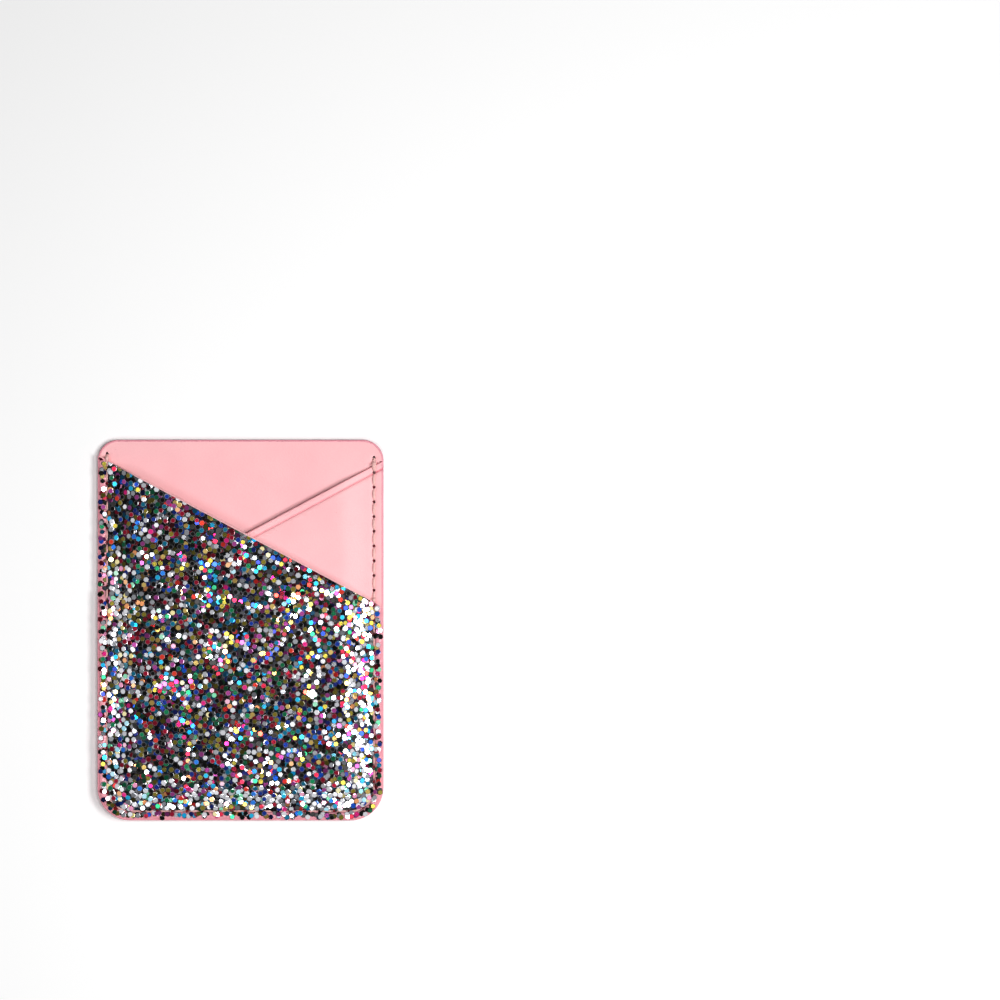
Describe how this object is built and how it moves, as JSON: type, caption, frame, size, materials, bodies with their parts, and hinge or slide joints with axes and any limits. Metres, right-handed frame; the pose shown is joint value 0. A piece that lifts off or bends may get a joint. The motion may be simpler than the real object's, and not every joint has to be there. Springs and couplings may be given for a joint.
{
  "type": "stick on phone card holder",
  "caption": "Flat sewn card holder that sticks to the back of a phone: pink leather pockets with crossing slanted mouths, a glitter front and a stitched rim.",
  "frame": {"origin": "middle of the sticking face, on the plane where the holder meets the phone", "axes": "+Z out of the front of the holder, +Y from the sewn bottom edge to the open mouth end, +X to the right as seen from the front"},
  "size_m": [0.061, 0.0812, 0.005],
  "materials": {
    "adhesive": "smooth tacky white foam",
    "back_leather": "fine-grained pink imitation leather with a painted edge",
    "middle_leather": "fine-grained pink imitation leather with a line pressed in beside its mouth",
    "front_leather": "pink imitation leather, bare at its cut mouth and rim",
    "glitter": "close layer of shiny many-coloured flakes, mostly dark",
    "thread": "twisted pale pink sewing thread"
  },
  "bodies": {
    "root": {"adhesive_sheet": "adhesive", "back_panel": "back_leather", "middle_panel": "middle_leather", "front_panel": "front_leather", "glitter_layer": "glitter", "needle_thread": "thread", "bobbin_thread": "thread"}
  },
  "joints": []
}
